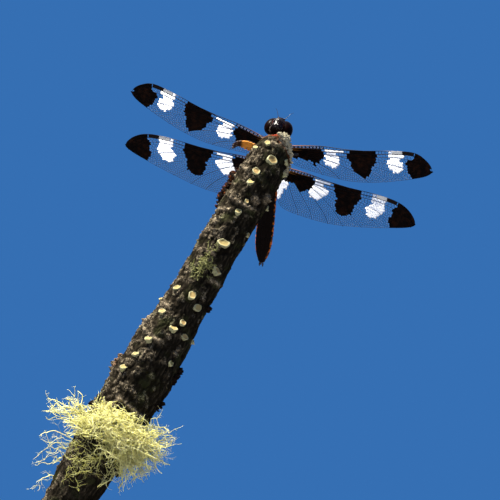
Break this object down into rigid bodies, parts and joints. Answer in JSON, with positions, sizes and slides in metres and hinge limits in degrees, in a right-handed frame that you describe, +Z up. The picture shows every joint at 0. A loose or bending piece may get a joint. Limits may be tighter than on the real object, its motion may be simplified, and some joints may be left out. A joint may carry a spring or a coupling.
{
  "type": "dragonfly on a perch, display model",
  "caption": "Life-size still model of a male twelve-spotted skimmer dragonfly gripping a lichened twig, held by a plain display stand.",
  "frame": {"origin": "centre of the underside of the stand's base", "axes": "+Z up from the surface that the base stands on, the insect's wings spread mostly along X, its face turned mostly towards -Y"},
  "size_m": [0.1483, 0.092, 0.2632],
  "materials": {
    "stand_wood": "dark walnut, satin oil",
    "brass": "brushed brass",
    "bark": "dead bark, dark grey-brown, crusted with grey and tan lichen",
    "bark_flake": "thin orange-brown inner bark with a dark curled end",
    "crust_lichen": "matte leafy lichen, grey-green to rusty brown",
    "beard_lichen": "pale yellow-green branching threads",
    "thorax": "dark brown cuticle under fine hair, two pale stripes on each side",
    "abdomen": "dark brown below with orange-red side marks, pale grey bloom above",
    "eye": "glossy faceted chocolate brown",
    "face": "glossy dark brown cuticle",
    "limb": "black cuticle, brown at the leg bases",
    "wing": "clear membrane with dark veins and black and white spots"
  },
  "bodies": {
    "root": {"abdomen_1": "abdomen", "abdomen_10": "abdomen", "abdomen_2": "abdomen", "abdomen_3": "abdomen", "abdomen_4": "abdomen", "abdomen_5": "abdomen", "abdomen_6": "abdomen", "abdomen_7": "abdomen", "abdomen_8": "abdomen", "abdomen_9": "abdomen", "antenna_left": "limb", "antenna_right": "limb", "cercus_left": "limb", "cercus_right": "limb", "eye_left": "eye", "eye_right": "eye", "face": "face", "forewing_left": "wing", "forewing_right": "wing", "head": "face", "hindwing_left": "wing", "hindwing_right": "wing", "leg_fore_left": "limb", "leg_fore_right": "limb", "leg_hind_left": "limb", "leg_hind_right": "limb", "leg_mid_left": "limb", "leg_mid_right": "limb", "mouth": "face", "neck": "thorax", "perch_beard": "beard_lichen", "perch_branch": "bark", "perch_flake": "bark_flake", "perch_lobe_lower": "crust_lichen", "perch_lobe_right": "crust_lichen", "perch_lobe_upper": "crust_lichen", "perch_rosette": "crust_lichen", "prothorax": "thorax", "stand_base": "stand_wood", "stand_collar": "brass", "stand_rod": "brass", "thorax": "thorax"}
  },
  "joints": []
}
